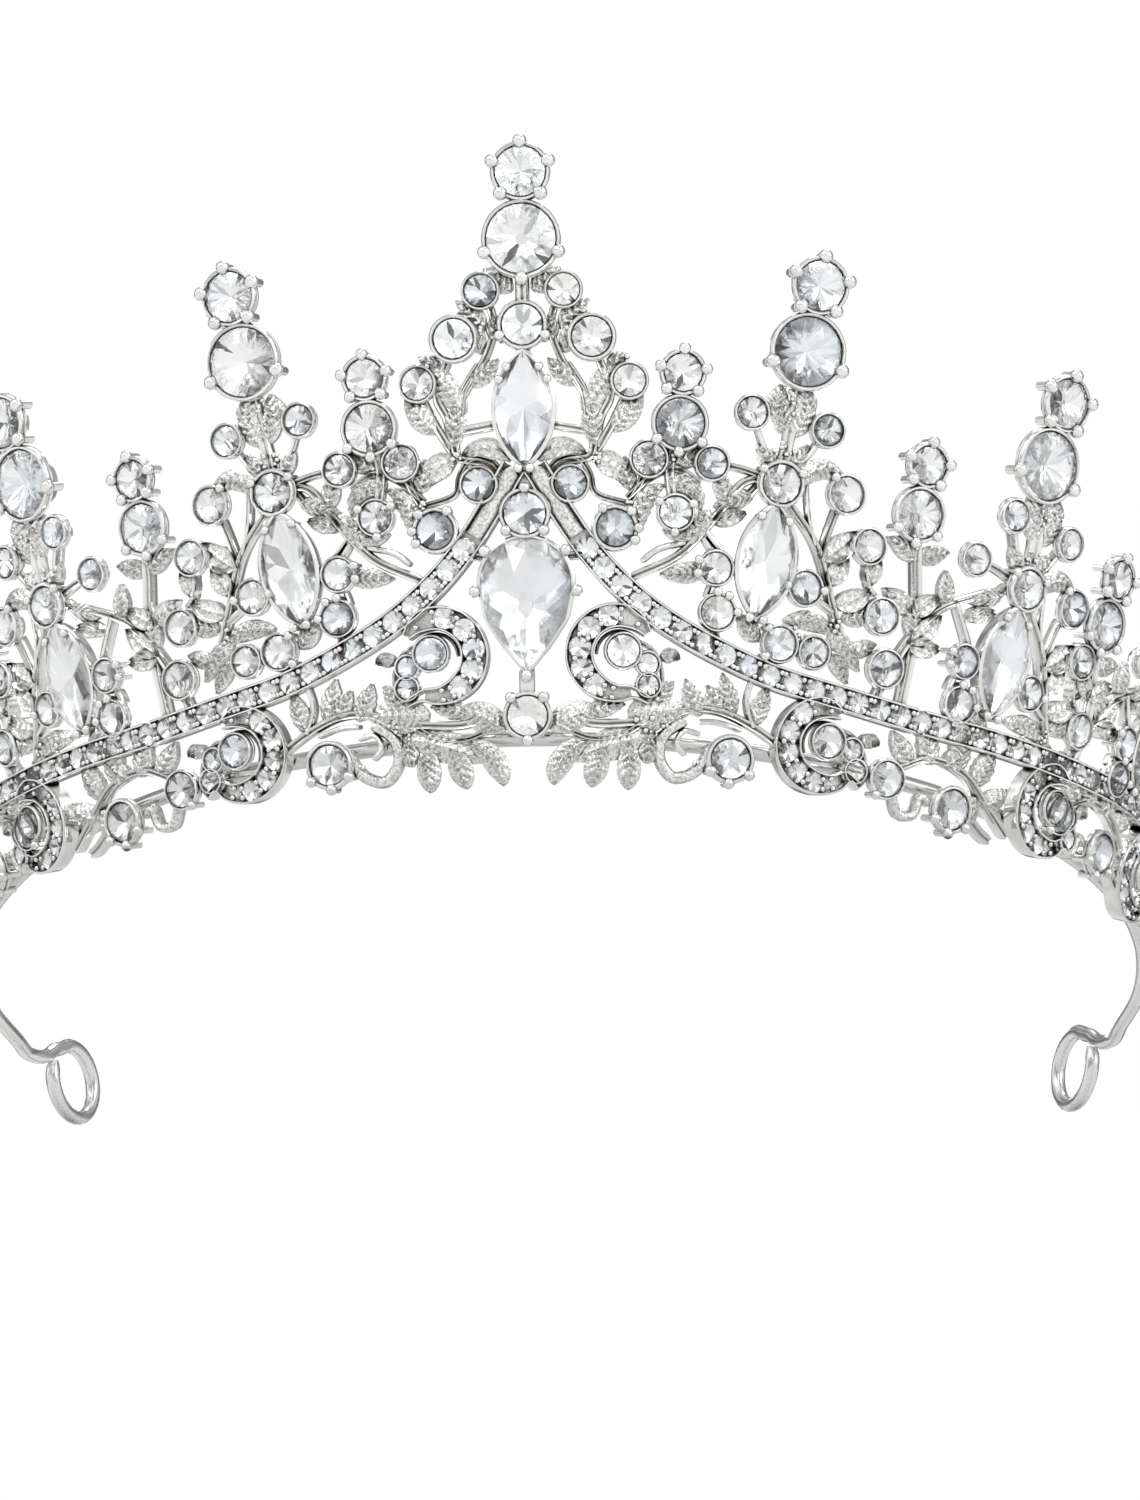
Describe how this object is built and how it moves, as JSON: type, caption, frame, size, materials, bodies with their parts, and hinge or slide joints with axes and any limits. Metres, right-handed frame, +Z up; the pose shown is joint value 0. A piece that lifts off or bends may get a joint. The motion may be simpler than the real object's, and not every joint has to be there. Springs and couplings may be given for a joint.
{
  "type": "bridal tiara",
  "caption": "Free-standing bridal tiara: openwork cast panels with set stones, spires and leaf work on a springy wire band with end loops.",
  "frame": {"origin": "middle of the bounding box on the surface that the tiara stands on", "axes": "+X towards the wearer's left, across the head; -Y out of the front; +Z up"},
  "size_m": [0.1512, 0.1266, 0.0631],
  "materials": {
    "cast_metal": "bright silver plate with darker recesses, lightly textured leaves",
    "band_wire": "plain drawn wire, silver plated, satin bright",
    "crystal": "clear foil-backed cut glass"
  },
  "bodies": {
    "root": {"centre_panel": "cast_metal", "left_panel": "cast_metal", "right_panel": "cast_metal", "headband_wire": "band_wire", "centre_spire_top_stone": "crystal", "centre_spire_stone": "crystal", "centre_neck_stone": "crystal", "centre_marquise": "crystal", "centre_collet_stone": "crystal", "centre_pear_stone": "crystal", "centre_base_stone": "crystal", "left_crest_stone": "crystal", "left_collar_stone": "crystal", "left_spire_1_stone": "crystal", "left_spire_1_top_stone": "crystal", "left_spire_1_neck_stone": "crystal", "left_spire_1_marquise": "crystal", "left_spire_2_stone": "crystal", "left_spire_2_top_stone": "crystal", "left_spire_2_neck_stone": "crystal", "left_spire_2_marquise": "crystal", "left_spire_3_stone": "crystal", "left_spire_3_top_stone": "crystal", "left_spire_3_neck_stone": "crystal", "left_spire_3_marquise": "crystal", "left_spirelet_1_stone": "crystal", "left_spirelet_1_top_stone": "crystal", "left_spirelet_2_stone": "crystal", "left_spirelet_2_top_stone": "crystal", "left_spirelet_3_stone": "crystal", "left_spirelet_3_top_stone": "crystal", "left_spirelet_4_stone": "crystal", "left_base_stone_1": "crystal", "left_base_stone_2": "crystal", "left_base_stone_3": "crystal", "right_crest_stone": "crystal", "right_collar_stone": "crystal", "right_spire_1_stone": "crystal", "right_spire_1_top_stone": "crystal", "right_spire_1_neck_stone": "crystal", "right_spire_1_marquise": "crystal", "right_spire_2_stone": "crystal", "right_spire_2_top_stone": "crystal", "right_spire_2_neck_stone": "crystal", "right_spire_2_marquise": "crystal", "right_spire_3_stone": "crystal", "right_spire_3_top_stone": "crystal", "right_spire_3_neck_stone": "crystal", "right_spire_3_marquise": "crystal", "right_spirelet_1_stone": "crystal", "right_spirelet_1_top_stone": "crystal", "right_spirelet_2_stone": "crystal", "right_spirelet_2_top_stone": "crystal", "right_spirelet_3_stone": "crystal", "right_spirelet_3_top_stone": "crystal", "right_spirelet_4_stone": "crystal", "right_base_stone_1": "crystal", "right_base_stone_2": "crystal", "right_base_stone_3": "crystal"}
  },
  "joints": []
}
